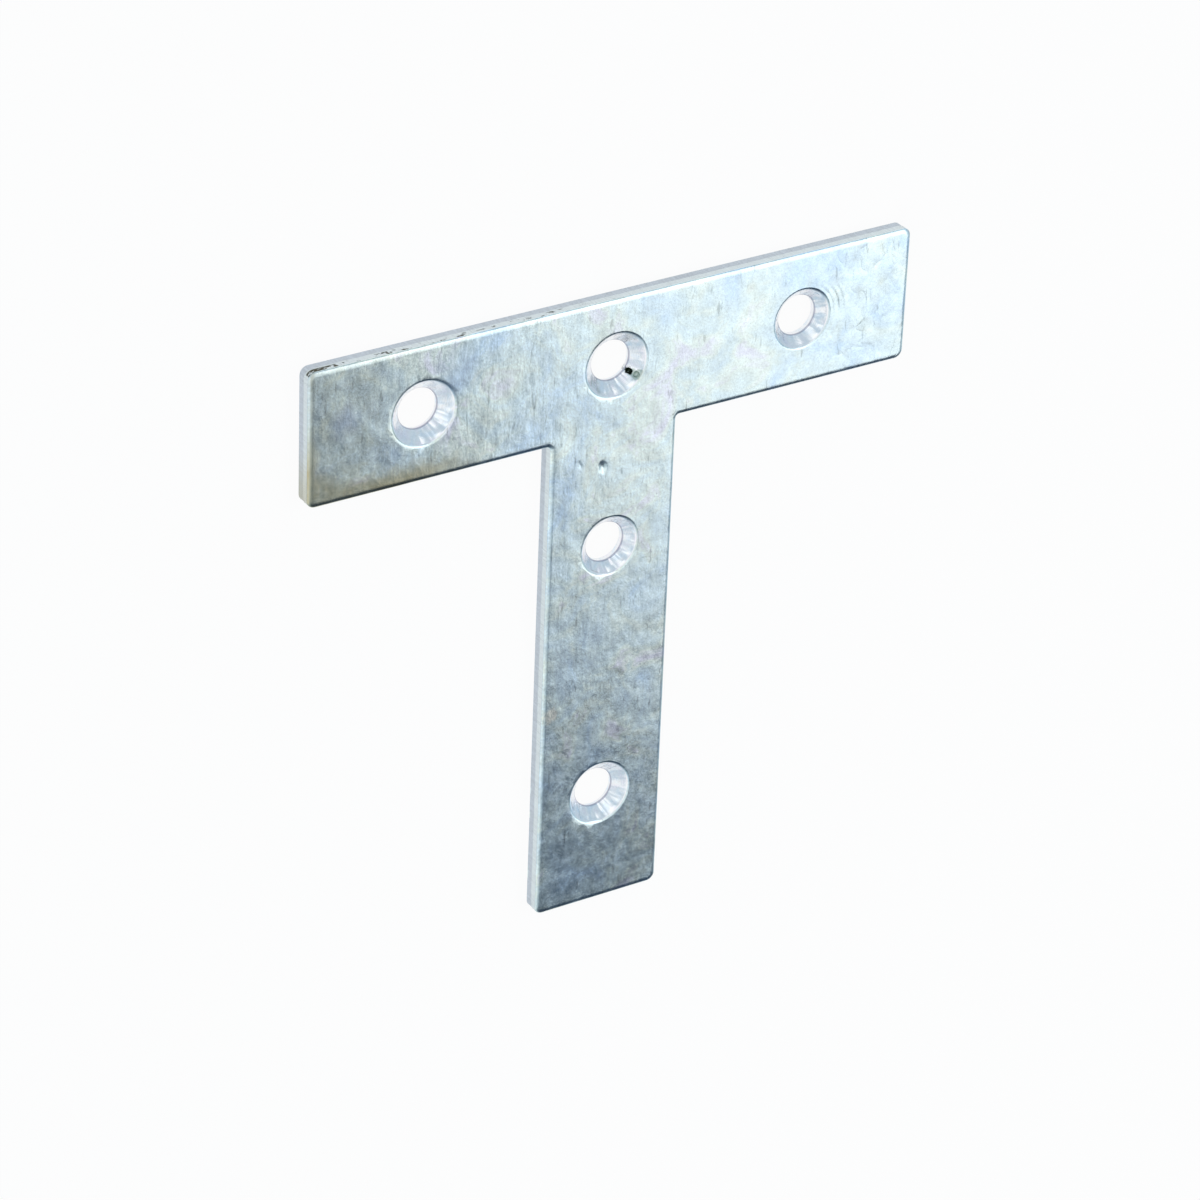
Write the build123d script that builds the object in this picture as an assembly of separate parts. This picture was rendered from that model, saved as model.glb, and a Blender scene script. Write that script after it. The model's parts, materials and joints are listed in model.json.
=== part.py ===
from build123d import *
import os

# A flat tee plate that joins two lengths of extrusion, frame rail or timber at a right angle.
# It is one piece: blanked from steel strip, pierced, countersunk and then bright zinc plated.
#
# The origin is where the junction hole's axis meets the back face, which lies on the work.
# +X runs along the bar, the stem runs towards -Y, and +Z leaves the countersunk face.
# Lengths are in millimetres.

# Blank
bar_length = 76.0
bar_width = 16.0
stem_width = 16.0
overall_height = 76.0  # top edge of the bar to the foot of the stem
thickness = 2.0
outer_corner_radius = 1.0
inner_corner_radius = 0.5

# Edges left by blanking
die_roll_radius = 0.5  # the countersunk face is drawn in and rounded where the die cuts it
burr_break = 0.1  # the burr round the back face, knocked off by tumbling

# Screw holes, each for the shank of a countersunk screw
screw_hole_diameter = 4.8
sink_angle = 90.0
deep_sink_diameter = 7.7
shallow_sink_diameter = 7.15
end_margin = 14.0  # end of each arm to the centre of its last hole
upper_stem_hole_drop = 22.2  # junction hole to the first hole down the stem

# Places that follow from the sizes above
bar_top = bar_width / 2
stem_foot = bar_top - overall_height
bar_hole_reach = bar_length / 2 - end_margin
lower_stem_hole = stem_foot + end_margin

# Hole centres in the plate's plane, by the depth to which they are countersunk
deep_holes = [
    (-bar_hole_reach, 0),
    (0, 0),
    (0, lower_stem_hole),
]
shallow_holes = [
    (bar_hole_reach, 0),
    (0, -upper_stem_hole_drop),
]


def tee_outline():
    """The blank seen from above: a bar with a stem from its middle, every corner eased."""
    with BuildSketch() as outline:
        Rectangle(bar_length, bar_width)
        Rectangle(stem_width, -stem_foot, align=(Align.CENTER, Align.MAX))
        corners = outline.vertices().sort_by_distance((0, 0))
        fillet(corners[:2], inner_corner_radius)
        fillet(corners[2:], outer_corner_radius)
    return outline.sketch


def tee_plate():
    """The finished plate, resting on its back face at Z = 0 with the countersinks upwards."""
    with BuildPart() as plate:
        add(tee_outline())
        extrude(amount=thickness)

        countersunk_face = plate.faces().sort_by(Axis.Z)[-1]
        fillet(countersunk_face.outer_wire().edges(), die_roll_radius)
        back_face = plate.faces().sort_by(Axis.Z)[0]
        chamfer(back_face.outer_wire().edges(), burr_break)

        with Locations((0, 0, thickness)):
            with Locations(*deep_holes):
                CounterSinkHole(
                    screw_hole_diameter / 2,
                    deep_sink_diameter / 2,
                    counter_sink_angle=sink_angle,
                )
            with Locations(*shallow_holes):
                CounterSinkHole(
                    screw_hole_diameter / 2,
                    shallow_sink_diameter / 2,
                    counter_sink_angle=sink_angle,
                )
    return plate.part


os.makedirs("parts", exist_ok=True)
export_step(tee_plate(), "parts/tee_plate.step")
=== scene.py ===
import json
import math

import bmesh
import bpy
from mathutils import Matrix, Vector


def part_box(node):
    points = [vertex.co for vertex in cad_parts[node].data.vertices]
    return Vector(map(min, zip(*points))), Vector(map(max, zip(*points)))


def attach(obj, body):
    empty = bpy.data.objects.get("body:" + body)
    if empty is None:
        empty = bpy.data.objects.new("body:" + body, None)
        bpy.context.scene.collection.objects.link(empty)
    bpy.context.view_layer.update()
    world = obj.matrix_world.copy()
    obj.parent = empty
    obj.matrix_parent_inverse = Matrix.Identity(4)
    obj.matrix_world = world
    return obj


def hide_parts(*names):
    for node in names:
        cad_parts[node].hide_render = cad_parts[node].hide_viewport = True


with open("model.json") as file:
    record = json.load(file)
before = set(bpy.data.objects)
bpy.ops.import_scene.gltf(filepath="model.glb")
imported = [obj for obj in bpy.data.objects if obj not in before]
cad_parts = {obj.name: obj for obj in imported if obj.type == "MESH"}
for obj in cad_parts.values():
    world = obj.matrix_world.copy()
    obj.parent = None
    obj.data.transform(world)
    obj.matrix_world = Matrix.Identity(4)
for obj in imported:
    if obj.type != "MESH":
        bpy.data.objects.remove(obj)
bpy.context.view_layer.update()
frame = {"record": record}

# ---------------------------------------------------------------------------------------------
# The tee plate
# One piece of steel strip, blanked to a tee in a press, then pierced and countersunk from its
# face. The press rolls the face's edge over and leaves each wall half burnished, half torn.
# The whole is barrel plated in bright zinc. The bar lies along X and the stem towards -Y.
# ---------------------------------------------------------------------------------------------
mm = 0.001
touching = 1e-6  # metres: two places nearer than this count as one

low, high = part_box("tee_plate")
bar_half_length = high.x
bar_half_width = high.y
stem_half_width = bar_half_width  # both arms are cut from strip of one width
stem_foot = low.y
thickness = high.z


def select(kind, test):
    """Selects the faces, edges or verts of the mesh under edit that pass the test, and no others."""
    bpy.ops.mesh.select_mode(type={"faces": "FACE", "edges": "EDGE", "verts": "VERT"}[kind])
    bpy.ops.mesh.select_all(action="DESELECT")
    mesh = bmesh.from_edit_mesh(bpy.context.object.data)
    for item in getattr(mesh, kind):
        if test(item):
            item.select_set(True)
    bmesh.update_edit_mesh(bpy.context.object.data)


def slice_across(axis, places):
    """Cuts the selected faces by planes square to an axis, so that they can be shaped between."""
    for place in places:
        bpy.ops.mesh.bisect(plane_co=Vector(axis) * place, plane_no=axis)


# The blank: a bar, with the stem drawn out of the middle of its lower edge.
bpy.ops.object.select_all(action="DESELECT")
bpy.ops.mesh.primitive_cube_add(
    size=1,
    location=(0, 0, thickness / 2),
    scale=(2 * bar_half_length, 2 * bar_half_width, thickness),
)
plate = bpy.context.object
plate.name = "zinc_tee_plate"
bpy.ops.object.transform_apply(location=True, rotation=True, scale=True)
bpy.ops.object.mode_set(mode="EDIT")
bpy.ops.mesh.select_all(action="SELECT")
slice_across((1, 0, 0), (-stem_half_width,))
bpy.ops.mesh.select_all(action="SELECT")
slice_across((1, 0, 0), (stem_half_width,))
select("faces", lambda f: f.normal.y < -0.9 and abs(f.calc_center_median().x) < stem_half_width / 2)
bpy.ops.mesh.extrude_region_move(
    TRANSFORM_OT_translate={"value": (0, stem_foot + bar_half_width, 0)}
)

# The die's own corners: six outer ones, and the two tighter ones where stem and bar meet.
outer_corner = 1.0 * mm
inner_corner = 0.5 * mm


def at_corner(edge, inner):
    """True for an upright edge at an inner corner of the tee, or else at an outer one."""
    a, b = (v.co for v in edge.verts)
    upright = abs(a.z - b.z) > thickness / 2
    if inner:
        at_place = (
            abs(abs(a.x) - stem_half_width) < touching and abs(a.y + bar_half_width) < touching
        )
    else:
        at_place = abs(abs(a.x) - bar_half_length) < touching or abs(a.y - stem_foot) < touching
    return upright and at_place


select("edges", lambda e: at_corner(e, inner=False))
bpy.ops.mesh.bevel(offset=outer_corner, segments=8, affect="EDGES")
select("edges", lambda e: at_corner(e, inner=True))
bpy.ops.mesh.bevel(offset=inner_corner, segments=6, affect="EDGES")

# The rolled edge round the face, wider than it is deep, and the broken burr round the back.
roll_width = 0.65 * mm
roll_depth = 0.2 * mm
burr_break = 0.1 * mm


def on_rim(edge, height):
    """True for an edge at that height between a wall and the face, or a wall and the back."""
    level = all(abs(v.co.z - height) < touching for v in edge.verts)
    one_side, other_side = edge.link_faces
    return level and abs(one_side.normal.z - other_side.normal.z) > 0.5


select("edges", lambda e: on_rim(e, thickness))
bpy.ops.mesh.bevel(offset=roll_width, segments=10, affect="EDGES")
select("verts", lambda v: v.co.z > thickness - roll_width - touching)
bpy.ops.transform.resize(
    value=(1, 1, roll_depth / roll_width), center_override=(0, 0, thickness)
)
select("edges", lambda e: on_rim(e, 0))
bpy.ops.mesh.bevel(offset=burr_break, segments=2, affect="EDGES")

# Slices all over, kept off the corners, so that the strip's slight waves can be pressed into it.
cell = 0.8 * mm
clear_of_roll = roll_width + 0.1 * mm
bpy.ops.mesh.select_all(action="SELECT")
step = 0
while (step + 0.5) * cell < bar_half_length - outer_corner:
    place = (step + 0.5) * cell
    if abs(place - stem_half_width) > clear_of_roll:
        slice_across((1, 0, 0), (-place, place))
        bpy.ops.mesh.select_all(action="SELECT")
    step += 1
place = bar_half_width - 2 * cell
while place > stem_foot + outer_corner:
    if abs(place + bar_half_width) > clear_of_roll:
        slice_across((0, 1, 0), (place,))
        bpy.ops.mesh.select_all(action="SELECT")
    place -= cell

# The walls: the die burnishes the part nearer the face, and the rest tears away from it.
torn_top = 1.0 * mm
for height in (torn_top, 0.9 * mm, 0.7 * mm, 0.5 * mm, 0.3 * mm):
    select("faces", lambda f: abs(f.normal.z) < 0.2)
    slice_across((0, 0, 1), (height,))


def press_in(x, y, length, width, turn, depth):
    """Dents the face with a long oval hollow, once the cells there are small enough for it."""
    along = Vector((math.cos(turn), math.sin(turn)))

    def reach(point):
        """0 at the middle of the oval, 1 on its edge."""
        off = Vector((point.x - x, point.y - y))
        return math.hypot(off.dot(along) / (length / 2), off.cross(along) / (width / 2))

    def in_dent(place, spread):
        return place.z > thickness - roll_depth and reach(place) < spread

    select("faces", lambda f: f.normal.z > 0.9 and in_dent(f.calc_center_median(), 1.6))
    bpy.ops.mesh.subdivide(number_cuts=4)
    steps = (1.0, 0.85, 0.7, 0.5, 0.3)
    for share in steps:
        select("verts", lambda v: in_dent(v.co, share))
        bpy.ops.transform.translate(value=(0, 0, -depth / len(steps)))


# Two dents at the top of the stem, and a faint third one. Places and sizes are in millimetres.
for x, y, length, width, turn, depth in (
    (-1.3, -12.1, 1.7, 1.0, 108, 0.10),
    (0.5, -15.2, 1.9, 0.5, 62, 0.05),
    (-4.3, -11.0, 1.4, 0.45, 115, 0.02),
):
    press_in(x * mm, y * mm, length * mm, width * mm, math.radians(turn), depth * mm)
bpy.ops.object.mode_set(mode="OBJECT")


def work_over(name, weigh, grain, strength, way="NORMAL"):
    """Presses an unevenness inwards, by the weight that weigh gives to each point."""
    group = plate.vertex_groups.new(name=name)
    for v in plate.data.vertices:
        weight = weigh(v.co)
        if weight > 0:
            group.add([v.index], weight, "REPLACE")
    unevenness = bpy.data.textures.new(name, "CLOUDS")
    unevenness.noise_scale = grain
    unevenness.noise_depth = 1
    modifier = plate.modifiers.new(name, "DISPLACE")
    modifier.texture = unevenness
    modifier.texture_coords = "LOCAL"
    modifier.direction = way
    modifier.vertex_group = name
    modifier.mid_level = 1.0
    modifier.strength = strength
    bpy.ops.object.modifier_apply(modifier=name)


def torn(point):
    """The torn part of the walls, but for the back's edge, which stays flat on the table."""
    return 1 if 0.05 * mm <= point.z <= torn_top - 0.01 * mm else 0


def rolled(point):
    """The rolled edge, most at its middle."""
    in_roll = (thickness - point.z) / roll_depth
    return 4 * in_roll * (1 - in_roll) if 0.002 < in_roll < 1 else 0


def flat_of_face(point):
    """The face inside the roll."""
    return 1 if point.z > thickness - roll_depth else 0


work_over("torn_wall", torn, 0.9 * mm, 0.09 * mm)
work_over("rolled_edge", rolled, 2.5 * mm, 0.025 * mm)
work_over("strip_waves", flat_of_face, 4 * mm, 0.012 * mm, way="Z")

# The holes: a drill's bore with a countersink's cone above it, let down from the face. The sink
# tool chatters, so that its cone comes out slightly many-sided, and its lip is rubbed soft.
holes = []
for mount in frame["record"]["mounts"]:
    if mount["kind"] == "bore":
        bore = mount["dims"]["r_mm"] * mm
        sink_depth = thickness - mount["dims"]["length_mm"] * mm
        holes.append((mount["name"], Vector(mount["pos_m"]), bore, sink_depth))

lip = 0.15 * mm
chatter = 0.14 * mm
lobes = 9
low_ring, high_ring = 0.33, 0.66  # the shares of the cone's depth where its lobes are
stand_off = 1 * mm  # how far each cutter reaches past the plate
tools = []
for name, centre, bore, sink_depth in holes:
    sink = bore + sink_depth  # a 90 degree cone widens as fast as it deepens
    foot = thickness - sink_depth
    bpy.ops.object.select_all(action="DESELECT")
    bpy.ops.mesh.primitive_cylinder_add(
        vertices=144,
        radius=bore + burr_break,
        depth=stand_off,
        location=(centre.x, centre.y, -stand_off / 2),
    )
    tool = bpy.context.object
    tool.name = name + "_drill"
    bpy.ops.object.transform_apply(location=True, rotation=True, scale=True)
    bpy.ops.object.mode_set(mode="EDIT")
    select("faces", lambda f: f.normal.z > 0.9)
    height, radius = 0.0, bore + burr_break
    for next_height, next_radius in (
        (burr_break, bore),
        (foot, bore),
        (foot + sink_depth * low_ring, bore + sink_depth * low_ring),
        (foot + sink_depth * high_ring, bore + sink_depth * high_ring),
        (thickness - 1.3 * lip, sink - 1.3 * lip),
        (thickness - 0.55 * lip, sink - 0.25 * lip),
        (thickness - 0.15 * lip, sink + 0.75 * lip),
        (thickness + 0.10 * lip, sink + 2.2 * lip),
        (thickness + stand_off, sink + 2.2 * lip),
    ):
        bpy.ops.mesh.extrude_region_move(
            TRANSFORM_OT_translate={"value": (0, 0, next_height - height)}
        )
        bpy.ops.transform.resize(
            value=(next_radius / radius, next_radius / radius, 1),
            center_override=(centre.x, centre.y, 0),
        )
        height, radius = next_height, next_radius
    first_lobe = centre.x * 90  # along the bar, each hole's lobes start at another angle
    for share, phase in ((low_ring, 0.9), (high_ring, 0.0)):
        ring = foot + sink_depth * share
        for lobe in range(lobes):
            middle = math.tau * (lobe + phase) / lobes + first_lobe

            def in_lobe(v):
                turn = math.atan2(v.co.y - centre.y, v.co.x - centre.x) - middle
                turn = (turn + math.pi) % math.tau - math.pi
                return abs(v.co.z - ring) < touching and abs(turn) < 0.25 * math.tau / lobes

            select("verts", in_lobe)
            uneven = 0.6 + 0.4 * math.sin(5 * lobe + 3)
            swell = 1 + chatter * uneven / (bore + sink_depth * share)
            bpy.ops.transform.resize(
                value=(swell, swell, 1), center_override=(centre.x, centre.y, 0)
            )
    bpy.ops.object.mode_set(mode="OBJECT")
    tools.append(tool)

# A nick in the junction hole's sink, deep by the bore and shallow towards the face.
punch_length = 4 * mm
for x, y, radius, floor in (
    (2.24 * mm, -1.67 * mm, 0.34 * mm, 0.55 * mm),
    (2.76 * mm, -1.92 * mm, 0.36 * mm, 1.30 * mm),
):
    bpy.ops.object.select_all(action="DESELECT")
    bpy.ops.mesh.primitive_cylinder_add(
        vertices=20, radius=radius, depth=punch_length, location=(x, y, floor + punch_length / 2)
    )
    tool = bpy.context.object
    tool.name = "nick_punch"
    bpy.ops.object.transform_apply(location=True, rotation=True, scale=True)
    bpy.ops.object.mode_set(mode="EDIT")
    select("edges", lambda e: all(v.co.z < floor + touching for v in e.verts))
    bpy.ops.mesh.bevel(offset=0.6 * radius, segments=3, affect="EDGES")
    bpy.ops.object.mode_set(mode="OBJECT")
    tools.append(tool)

for tool in tools:
    bpy.ops.object.select_all(action="DESELECT")
    plate.select_set(True)
    bpy.context.view_layer.objects.active = plate
    modifier = plate.modifiers.new(tool.name, "BOOLEAN")
    modifier.operation = "DIFFERENCE"
    modifier.solver = "EXACT"
    modifier.object = tool
    bpy.ops.object.modifier_apply(modifier=modifier.name)
    bpy.data.objects.remove(tool)

# Curved parts are shaded smooth, and flat parts stay flat.
bpy.ops.object.select_all(action="DESELECT")
plate.select_set(True)
bpy.ops.object.shade_smooth_by_angle(angle=math.radians(28))
modifier = plate.modifiers.new("weights", "WEIGHTED_NORMAL")
modifier.keep_sharp = True
bpy.ops.object.modifier_apply(modifier=modifier.name)


class Shade:
    """A socket of a material's nodes. Arithmetic adds Math nodes, and node() adds any other."""

    def __init__(self, tree, socket=None):
        self.tree = tree
        self.socket = socket

    def node(self, kind, settings=None, sockets=None, output=0):
        made = self.tree.nodes.new(kind)
        for name, value in (settings or {}).items():
            if name == "stops":
                ramp = made.color_ramp
                for place, colour in value[1:-1]:
                    ramp.elements.new(place)
                for element, (place, colour) in zip(ramp.elements, value):
                    element.position = place
                    element.color = colour if len(colour) == 4 else (*colour, 1)
            else:
                setattr(made, name, value)
        for name, value in (sockets or {}).items():
            if isinstance(value, Shade):
                self.tree.links.new(value.socket, made.inputs[name])
            else:
                made.inputs[name].default_value = value
        return Shade(self.tree, made.outputs[output])

    def math(self, operation, first, second=0.0, clamp=False):
        settings = {"operation": operation, "use_clamp": clamp}
        return self.node("ShaderNodeMath", settings, {0: first, 1: second})

    def __add__(self, other):
        return self.math("ADD", self, other)

    def __radd__(self, other):
        return self.math("ADD", other, self)

    def __sub__(self, other):
        return self.math("SUBTRACT", self, other)

    def __rsub__(self, other):
        return self.math("SUBTRACT", other, self)

    def __mul__(self, other):
        return self.math("MULTIPLY", self, other)

    def __rmul__(self, other):
        return self.math("MULTIPLY", other, self)

    def __pow__(self, other):
        return self.math("POWER", self, other)

    def __abs__(self):
        return self.math("ABSOLUTE", self)

    def or_more(self, other):
        """The greater of the two."""
        return self.math("MAXIMUM", self, other)

    def along(self, axis):
        """A place's distance along an axis: 0 for X, 1 for Y and 2 for Z."""
        return self.node("ShaderNodeSeparateXYZ", {}, {"Vector": self}, output=axis)

    def rise(self, start, end):
        """0 before start, 1 after end, and smooth between."""
        sockets = {"Value": self, "From Min": start, "From Max": end, "To Min": 0.0, "To Max": 1.0}
        return self.node("ShaderNodeMapRange", {"interpolation_type": "SMOOTHSTEP"}, sockets)


def new_finish(name):
    """A bare metal, as a material, its shader and a first socket to build on: the place in mm."""
    material = bpy.data.materials.new(name)
    material.use_nodes = True
    shader = material.node_tree.nodes["Principled BSDF"]
    shader.inputs["Metallic"].default_value = 1.0
    here = Shade(material.node_tree).node("ShaderNodeTexCoord", output="Object")
    here = here.node("ShaderNodeMapping", {}, {"Vector": here, "Scale": (1000, 1000, 1000)})
    return material, shader, here


def noise(here, scale, detail=2.0, rough=0.5, stretch=(1, 1, 1), turn=0.0, seed=0.0, warp=0.0):
    """A cloud of values round a half, so many to the millimetre, stretched and turned in the face."""
    moved = here.node(
        "ShaderNodeMapping",
        {},
        {
            "Vector": here,
            "Scale": stretch,
            "Rotation": (0, 0, turn),
            "Location": (seed, seed * 0.7, seed * 0.3),
        },
    )
    return here.node(
        "ShaderNodeTexNoise",
        {},
        {"Vector": moved, "Scale": scale, "Detail": detail, "Roughness": rough, "Distortion": warp},
    )


def blend(factor, first, second):
    """One colour passing into another. The mix node takes colours at its sockets 6 and 7."""
    return factor.node(
        "ShaderNodeMix",
        {"data_type": "RGBA", "blend_type": "MIX"},
        {"Factor": factor, 6: first, 7: second},
        output=2,
    )


def shadow_in(colour, amount):
    """A colour made darker by an amount below 1, or lighter by one above it."""
    grey = amount.node("ShaderNodeCombineColor", {}, {0: amount, 1: amount, 2: amount})
    return amount.node(
        "ShaderNodeMix",
        {"data_type": "RGBA", "blend_type": "MULTIPLY"},
        {"Factor": 1.0, 6: colour, 7: grey},
        output=2,
    )


def connect(shader, name, value):
    """Feeds a value into one of the shader's own sockets."""
    shader.id_data.links.new(value.socket, shader.inputs[name])


def emboss(shader, height):
    """Shades a finish by heights in millimetres, too fine to be shaped."""
    bump = height.node("ShaderNodeBump", {}, {"Height": height, "Strength": 1.0, "Distance": mm})
    connect(shader, "Normal", bump)


# Bright zinc on the face and the back: pale and blue, clouded green, lavender and cream where the
# passivate dried unevenly, and olive where it has begun to tarnish.
zinc, shader, here = new_finish("bright_zinc")
x = here.along(0)
y = here.along(1)

clouds = noise(here, 0.16, detail=4, rough=0.6, seed=3.1, warp=0.6)
colour = clouds.node(
    "ShaderNodeValToRGB",
    {
        "stops": [
            (0.32, (0.60, 0.76, 0.90)),
            (0.42, (0.67, 0.81, 0.88)),
            (0.52, (0.71, 0.84, 0.86)),
            (0.60, (0.76, 0.86, 0.82)),
            (0.70, (0.76, 0.80, 0.89)),
        ]
    },
    {"Fac": clouds},
)
mottle = noise(here, 0.55, detail=5, rough=0.65, seed=11.0, stretch=(1.0, 0.6, 1), turn=0.3)
grain = noise(here, 3.2, detail=4, rough=0.7, seed=5.0)
colour = shadow_in(colour, 0.98 + 0.8 * (mottle - 0.5) + 0.6 * (grain - 0.5))

# Slanting dashes where the barrel's tumbling scuffed it.
slant = 0.32
dash = noise(here, 0.55, detail=3, rough=0.6, stretch=(2.6, 0.5, 1), turn=slant, seed=17.0)
colour = shadow_in(colour, 1 - 0.3 * dash.rise(0.62, 0.72))


def spot(middle_x, middle_y, inner, outer, ragged):
    """1 inside a ragged spot of the face, falling to 0 outside it."""
    off = ((x - middle_x) * (x - middle_x) + (y - middle_y) * (y - middle_y)) ** 0.5
    return 1 - (off + 3 * (ragged - 0.5)).rise(inner, outer)


# A blue bloom on either side of the left hole, and a pale smudge at the stem's left edge.
deep_blue = (0.46, 0.59, 0.82, 1)
soft_blue = (0.50, 0.63, 0.80, 1)
cream = (0.95, 0.94, 0.84, 1)
colour = blend(0.65 * spot(-33.4, 1.4, 0.4, 2.8, mottle), colour, deep_blue)
colour = blend(0.5 * spot(-20.0, 4.0, 0.5, 4.2, mottle), colour, soft_blue)
colour = blend(0.8 * spot(-6.9, -42.0, 0.2, 1.0, mottle), colour, cream)

# Tarnish: along the left end and the left arm's lower edge, thickest in the corner between.
from_left = x + bar_half_length / mm
from_below = y + bar_half_width / mm
ragged = noise(here, 0.5, detail=4, rough=0.6, seed=21.0)
at_end = (1 - (from_left + 2.4 * (ragged - 0.5)).rise(0.3, 2.6)) * (1 - y.rise(-4.0, 4.0))
along_edge = 1 - (from_below + 3.0 * (ragged - 0.5)).rise(0.8, 3.4)
along_edge = along_edge * (1 - x.rise(-25.0, -13.0))
in_corner = 1 - (from_left + from_below * 1.4 + 8 * (ragged - 0.5)).rise(4.0, 12.0)
tarnish = at_end.or_more(along_edge).or_more(in_corner) * (0.35 + 0.9 * ragged)
tarnish = tarnish.or_more(0.5 * ragged * (1 - x.rise(-33.0, -22.0)))
tarnish = tarnish * (1 - x.rise(-12.0, -8.0))
olive = (0.52, 0.48, 0.31, 1)
colour = blend(tarnish.math("MULTIPLY", tarnish, 1.05, clamp=True), colour, olive)
# A dark olive line just inside the left end's rolled edge: partly tarnish, and partly a painted dark
# reflection where the face starts to roll over.
rim_tarnish_and_reflection = from_left.rise(0.2, 0.35) * (1 - from_left.rise(0.5, 1.0)) * (0.4 + 0.6 * ragged)
olive_tarnish_and_reflection = (0.36, 0.38, 0.31, 1)
colour = blend(0.7 * rim_tarnish_and_reflection, colour, olive_tarnish_and_reflection)
connect(shader, "Base Color", colour)
connect(shader, "Roughness", 0.23 + 0.16 * (mottle - 0.5) + 0.12 * (grain - 0.5))

# Heights in millimetres: the strip's waves, its orange peel, fine grain and slanting streaks.
waves = noise(here, 0.22, seed=31.0)
peel = noise(here, 0.9, detail=3, rough=0.6, seed=41.0, stretch=(1.0, 0.75, 1), turn=0.35)
streaks = noise(here, 0.7, detail=4, rough=0.6, stretch=(2.2, 0.35, 1), turn=slant, seed=51.0)
relief = 0.06 * waves + 0.018 * peel + 0.011 * streaks + 0.0035 * grain

# Crinkles across the right arm, and the ripples of a tool's touch beside its hole.
fold = noise(here, 0.20, rough=0.5, stretch=(1.5, 0.8, 1), turn=-0.35, seed=61.0, warp=0.8)
crinkle = (1 - abs(fold - 0.5) * 6).or_more(0.0)
crinkle = crinkle * crinkle * x.rise(26.0, 30.0)
right_hole = max(centre.x for name, centre, bore, sink_depth in holes) / mm
from_hole = ((x - right_hole) * (x - right_hole) + y * y) ** 0.5
ripple = from_hole.math("SINE", from_hole * 9.0)
ripple = ripple * from_hole.rise(3.6, 4.2) * (1 - from_hole.rise(5.2, 6.4))
ripple = ripple * (1 - abs(y - 1.6).rise(0.8, 2.4)) * x.rise(26.0, 27.0)
relief = relief - 0.016 * crinkle + 0.008 * ripple
emboss(shader, relief)

# The walls: burnished by the die near the face, torn and duller towards the back.
sheared, shader, here = new_finish("sheared_edge")
x = here.along(0)
y = here.along(1)
z = here.along(2)
wander = noise(here, 0.8, detail=3, seed=71.0, stretch=(1, 1, 0.3))
scores = noise(here, 4.5, detail=3, rough=0.6, stretch=(1, 1, 0.08), seed=81.0)
rough_grain = noise(here, 5.0, detail=4, rough=0.7, seed=91.0)
is_torn = 1 - (z + 0.35 * (wander - 0.5)).rise(0.93, 1.07)
burnished_steel = (0.66, 0.74, 0.77, 1)
torn_steel = (0.58, 0.64, 0.70, 1)
colour = blend(is_torn, burnished_steel, torn_steel)
colour = shadow_in(colour, 1 + 0.5 * (scores - 0.5) + 0.4 * is_torn * (rough_grain - 0.5))

# Dark specks left in the top wall, thick at the left corner and gone past the middle, and a
# first touch of tarnish on the left end.
speck = noise(here, 1.1, detail=4, rough=0.7, stretch=(0.7, 0.2, 1.3), seed=7.7)
on_top_wall = y.rise(7.4, 7.6) * z.rise(1.05, 1.3)
thinning = 0.12 * x.rise(-36.5, -33.0) + 0.05 * x.rise(-14.0, 4.0)
speck = (speck - thinning).rise(0.44, 0.50) * on_top_wall * (1 - x.rise(0.0, 6.0))
left_end = (1 - x.rise(-37.9, -37.5)) * (1 - y.rise(-7.5, 0.0)) * 0.7
pale_olive = (0.55, 0.54, 0.42, 1)
near_black = (0.06, 0.06, 0.04, 1)
colour = blend(left_end, colour, pale_olive)
colour = blend(speck, colour, near_black)
connect(shader, "Base Color", colour)
connect(shader, "Roughness", 0.3 + 0.22 * is_torn + 0.2 * (scores - 0.5))
relief = 0.012 * scores + 0.03 * is_torn * rough_grain - 0.05 * speck
emboss(shader, relief)

# The sinks and bores: cut bright, with the tool's rings showing through the plating.
cut, shader, here = new_finish("cut_sink")
x = here.along(0)
y = here.along(1)
z = here.along(2)
smear = noise(here, 0.9, detail=3, seed=15.0)
grain = noise(here, 4.0, detail=3, seed=25.0)
colour = smear.node(
    "ShaderNodeValToRGB",
    {"stops": [(0.35, (0.80, 0.88, 0.95)), (0.5, (0.90, 0.93, 0.95)), (0.65, (0.90, 0.90, 0.95))]},
    {"Fac": smear},
)
colour = shadow_in(colour, 1 + 0.2 * (grain - 0.5))

# Painted shade: a dark line where each bore meets its sink, nearer the face in the two shallower
# sinks.
shallow = x.rise(15.0, 16.0) + y.rise(-31.0, -30.0) * (1 - y.rise(-15.0, -14.0))
bore_mouth_shade = 1 - abs(z - (0.50 + 0.275 * shallow)).rise(0.04, 0.18)
bore_shade_slate = (0.26, 0.27, 0.38, 1)
colour = blend(0.7 * bore_mouth_shade, colour, bore_shade_slate)

# The nick: grey green at its shallow end, and painted shade, near black, where it runs down deep
# beside the bore.
grey_green = (0.42, 0.50, 0.44, 1)
deep_nick_shade = (0.02, 0.03, 0.02, 1)
colour = blend(0.8 * spot(2.85, -1.95, 0.35, 0.75, smear), colour, grey_green)
colour = blend(spot(2.22, -1.66, 0.30, 0.46, grain * 0.2 + 0.4), colour, deep_nick_shade)
connect(shader, "Base Color", colour)
connect(shader, "Roughness", 0.14 + 0.14 * smear)
rings = z.math("SINE", z * 48.0 + 3 * smear)
relief = 0.0015 * rings + 0.004 * grain
emboss(shader, relief)

for material in (zinc, sheared, cut):
    plate.data.materials.append(material)


def in_hole(face):
    """True for a face of a bore, a sink or its lip."""
    middle = face.calc_center_median()
    if not 0.01 * mm < middle.z < thickness - 0.03 * mm:
        return False
    for name, centre, bore, sink_depth in holes:
        off = middle - centre
        if math.hypot(off.x, off.y) < bore + sink_depth:
            return True
    return False


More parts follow.
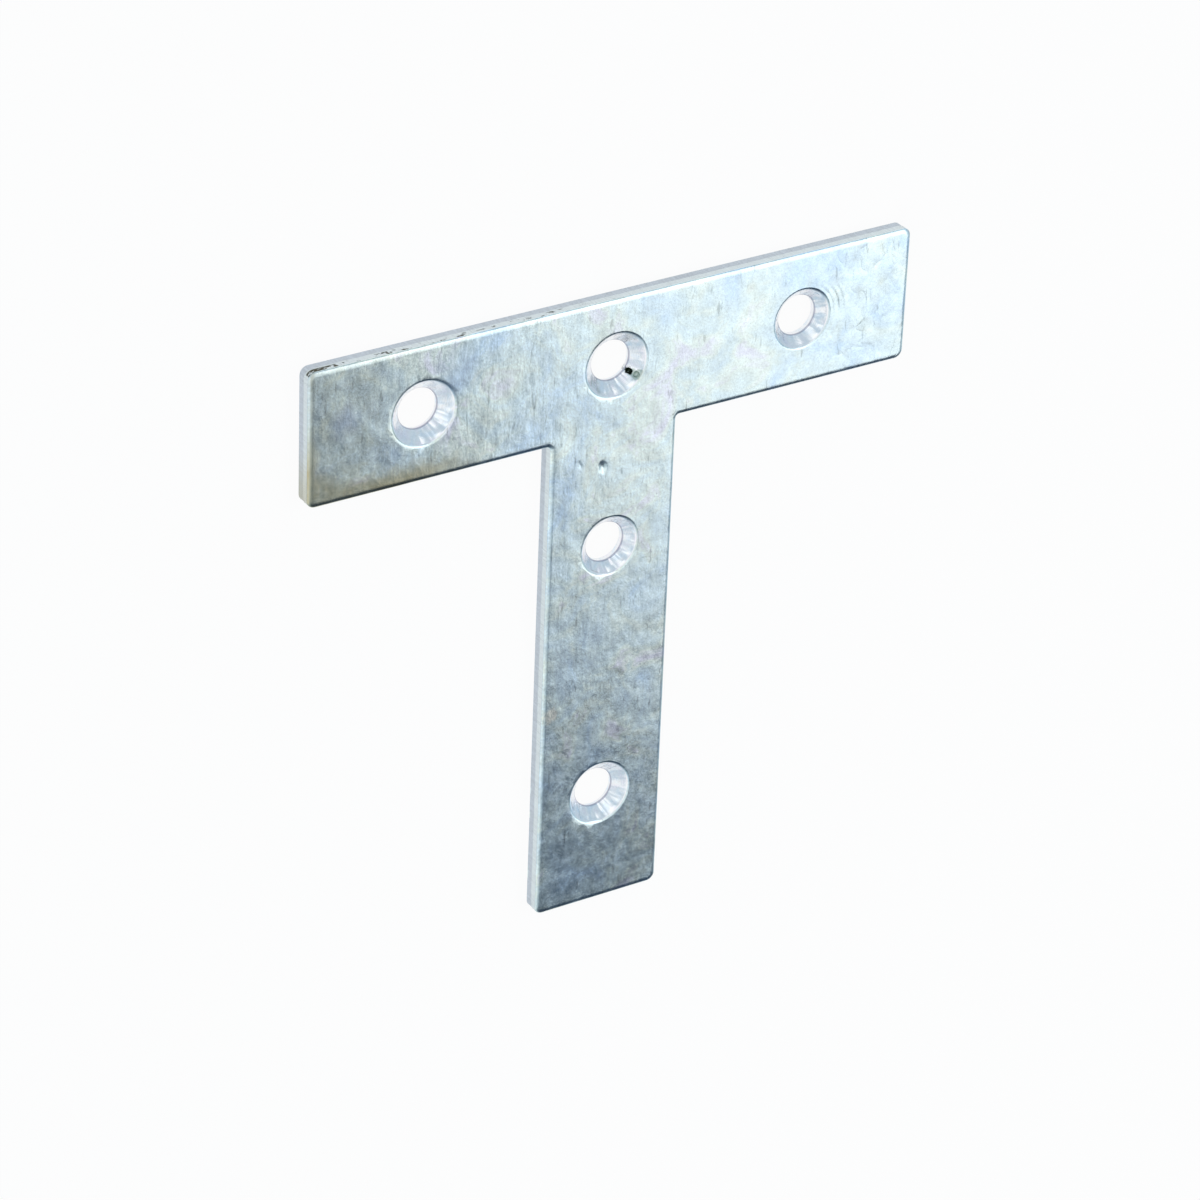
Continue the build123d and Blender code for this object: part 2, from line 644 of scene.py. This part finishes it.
def in_wall(face):
    """True for a face of the outer walls."""
    upright = abs(face.normal.z) < 0.35
    below_roll = face.calc_center_median().z < thickness - 0.75 * roll_depth
    return upright and below_roll and not in_hole(face)


# Every face starts in bright zinc. The walls take the second finish, and the holes the third.
bpy.ops.object.mode_set(mode="EDIT")
for index, test in ((1, in_wall), (2, in_hole)):
    select("faces", test)
    plate.active_material_index = index
    bpy.ops.object.material_slot_assign()
bpy.ops.object.mode_set(mode="OBJECT")

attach(plate, "root")
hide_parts("tee_plate")

# ---------------------------------------------------------------------------------------------
# The table
# A plain white board, on which the plate lies flat. To the eye and in the metal it shows as
# white, and it keeps a soft shadow under the plate's edges.
# ---------------------------------------------------------------------------------------------
bpy.ops.object.select_all(action="DESELECT")
bpy.ops.mesh.primitive_plane_add(size=8, location=(0, 0, -0.005 * mm))
table = bpy.context.object
table.name = "table"
bpy.ops.object.transform_apply(location=True, rotation=True, scale=True)
board = bpy.data.materials.new("white_board")
board.use_nodes = True
tree = board.node_tree
shader = tree.nodes["Principled BSDF"]
shader.inputs["Base Color"].default_value = (0.9, 0.9, 0.9, 1)
shader.inputs["Roughness"].default_value = 1.0
shader.inputs["Specular IOR Level"].default_value = 0.0
path = Shade(tree)
seen = path.node("ShaderNodeLightPath", output="Is Camera Ray")
mirrored = path.node("ShaderNodeLightPath", output="Is Glossy Ray")
through = path.node("ShaderNodeLightPath", output="Is Transmission Ray")
whiteness = 0.92
lifted = seen.math("MINIMUM", seen + mirrored + through, 1.0) * whiteness
glow = path.node("ShaderNodeEmission", {}, {"Color": (1, 1, 1, 1), "Strength": 1.0})
lit = Shade(tree, shader.outputs[0])
surface = path.node("ShaderNodeMixShader", {}, {0: lifted, 1: lit, 2: glow})
tree.links.new(surface.socket, tree.nodes["Material Output"].inputs["Surface"])
table.data.materials.append(board)

# ---------------------------------------------------------------------------------------------
# The light
# A tall soft box beyond the right arm, whose near edge is mirrored across the plate. The room is
# pale, and white overhead and high on the left, with a dark screen and low shade beyond the
# stem's foot. Four small lamps glint in the sinks.
# ---------------------------------------------------------------------------------------------
bpy.ops.object.select_all(action="DESELECT")
box_place = Vector((0.354, -0.075, 0.473))
bpy.ops.object.light_add(type="AREA", location=box_place)
soft_box = bpy.context.object
soft_box.name = "soft_box"
soft_box.data.shape = "RECTANGLE"
soft_box.data.size = 0.24
soft_box.data.size_y = 0.574
soft_box.data.energy = 0.47
soft_box.data.color = (1.0, 0.96, 0.94)
toward = box_place.normalized()
box_turn = 0.137
level = Vector((math.cos(box_turn), math.sin(box_turn), 0))
level = (level - toward * level.dot(toward)).normalized()
soft_box.matrix_world = Matrix.Translation(box_place) @ Matrix(
    (level, toward.cross(level), toward)
).transposed().to_4x4()
soft_box.visible_camera = False

room = bpy.data.worlds.new("room")
bpy.context.scene.world = room
room.use_nodes = True
tree = room.node_tree
way = Shade(tree).node("ShaderNodeTexCoord", output="Generated")


def patch_of_room(azimuth, elevation, inner, outer):
    """1 within so many degrees of a direction, falling smoothly to 0 further off."""
    azimuth, elevation = math.radians(azimuth), math.radians(elevation)
    middle = (
        math.cos(elevation) * math.cos(azimuth),
        math.cos(elevation) * math.sin(azimuth),
        math.sin(elevation),
    )
    facing = way.node(
        "ShaderNodeVectorMath", {"operation": "DOT_PRODUCT"}, {0: way, 1: middle}, output="Value"
    )
    return facing.rise(math.cos(math.radians(outer)), math.cos(math.radians(inner)))


pale_walls = (0.54, 0.64, 0.72, 1)
dark_screen = (0.025, 0.045, 0.078, 1)
low_shade = (0.13, 0.15, 0.18, 1)
white = (1.0, 1.0, 1.0, 1)
lamp = (1.25, 1.25, 1.25, 1)
colour = blend(patch_of_room(-60, 30, 10, 35), pale_walls, dark_screen)
colour = blend(patch_of_room(-46, -2, 9, 22), colour, low_shade)
colour = blend(patch_of_room(0, 90, 20, 38), colour, white)
colour = blend(patch_of_room(-135, 45, 14, 32), colour, white)
for azimuth, elevation in ((112, 48), (160, 36), (60, 16), (-170, 20)):
    colour = blend(patch_of_room(azimuth, elevation, 5, 15), colour, lamp)

# Behind the table the room is white to the eye.
seen = way.node("ShaderNodeLightPath", output="Is Camera Ray")
colour = blend(seen, colour, white)
tree.links.new(colour.socket, tree.nodes["Background"].inputs["Color"])
tree.nodes["Background"].inputs["Strength"].default_value = 1.0

# ---------------------------------------------------------------------------------------------
# The camera
# A long lens, up to the left of the plate and above its top edge, so that the walls of the left
# end and the top show beside the face.
# ---------------------------------------------------------------------------------------------
eye = Vector((-0.27345, 0.25405, 0.42180))
right = Vector((0.84890, 0.03505, 0.52738))
up = Vector((0.23387, 0.86990, -0.43426))
back = Vector((-0.47399, 0.49199, 0.73026))
lens = bpy.data.cameras.new("camera")
lens.sensor_width = 36
lens.lens = 156.42
lens.clip_start = 0.01
camera = bpy.data.objects.new("camera", lens)
bpy.context.scene.collection.objects.link(camera)
camera.matrix_world = Matrix.Translation(eye) @ Matrix((right, up, back)).transposed().to_4x4()
bpy.context.scene.camera = camera

bpy.context.scene.view_settings.view_transform = "Standard"
